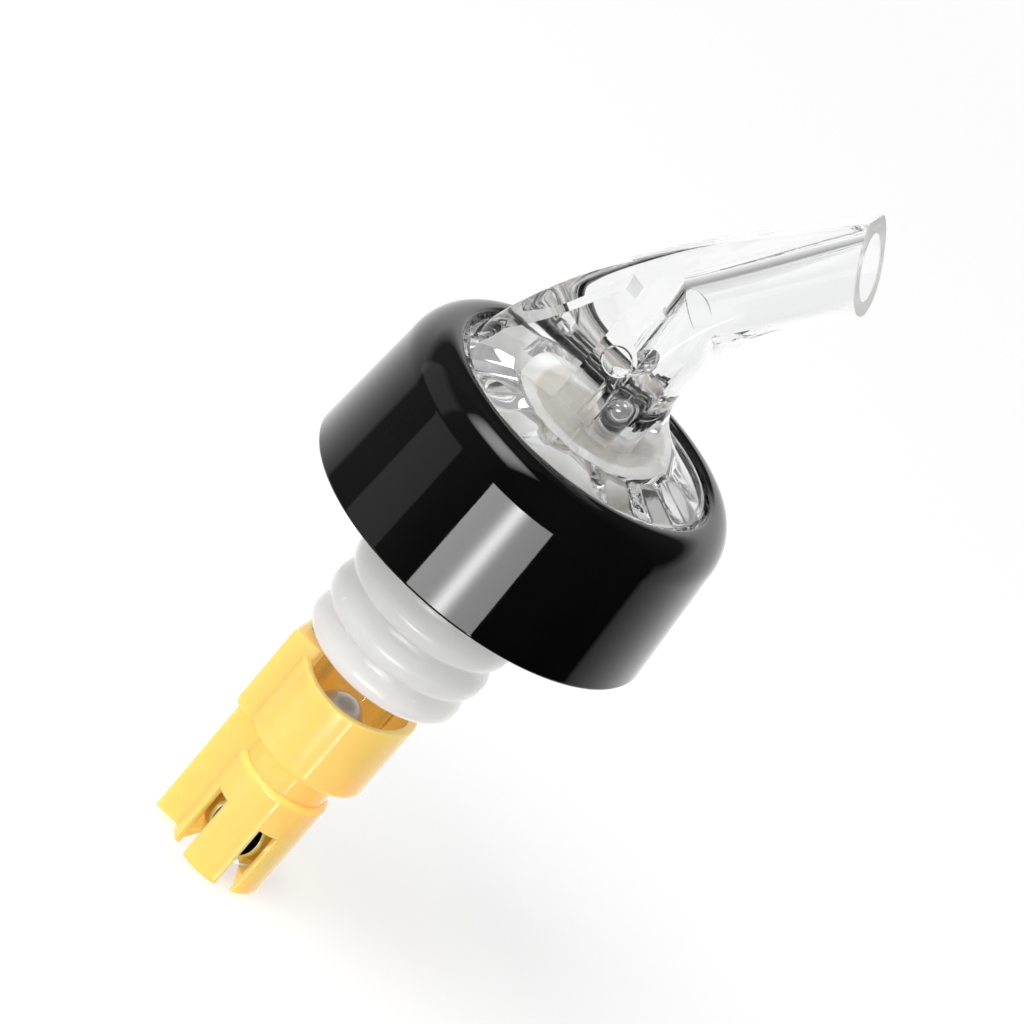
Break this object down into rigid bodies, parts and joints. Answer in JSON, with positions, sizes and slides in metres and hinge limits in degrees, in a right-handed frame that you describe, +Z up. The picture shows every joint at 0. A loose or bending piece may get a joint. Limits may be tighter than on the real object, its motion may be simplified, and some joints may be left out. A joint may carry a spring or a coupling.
{
  "type": "measured pourer",
  "caption": "Bottle pourer that meters a shot: clear curved spout in a glossy black collar, ribbed white stopper and a slotted yellow tail with loose steel balls.",
  "frame": {"origin": "on the pourer's axis, in the plane where the bottle's lip seats under the collar", "axes": "+Z up along the axis toward the spout, +X toward the pouring side"},
  "size_m": [0.041, 0.041, 0.1005],
  "materials": {
    "black_gloss": "high gloss black",
    "clear_plastic": "clear moulded plastic",
    "milky_plastic": "milky translucent",
    "white_plastic": "satin translucent white",
    "yellow_plastic": "gloss, slightly translucent",
    "steel": "polished steel"
  },
  "bodies": {
    "pourer": {"collar": "black_gloss", "spout": "clear_plastic", "stop_pin": "clear_plastic", "ball_seat": "milky_plastic", "stopper": "white_plastic", "measuring_tube": "clear_plastic", "breather_tube": "clear_plastic", "metering_tail": "yellow_plastic"},
    "spout_ball": {"spout_ball": "steel"},
    "timing_ball": {"timing_ball": "steel"},
    "reset_ball": {"reset_ball": "steel"}
  },
  "joints": [
    {"name": "spout_ball_slide", "type": "slide", "parent": "pourer", "child": "spout_ball", "axis": [0, 0, 1], "range_m": [0, 0.0044]},
    {"name": "timing_ball_slide", "type": "slide", "parent": "pourer", "child": "timing_ball", "axis": [0, 0, 1], "range_m": [0, 0.0356]},
    {"name": "reset_ball_slide", "type": "slide", "parent": "pourer", "child": "reset_ball", "axis": [0, 0, 1], "range_m": [0, 0.0012]}
  ]
}
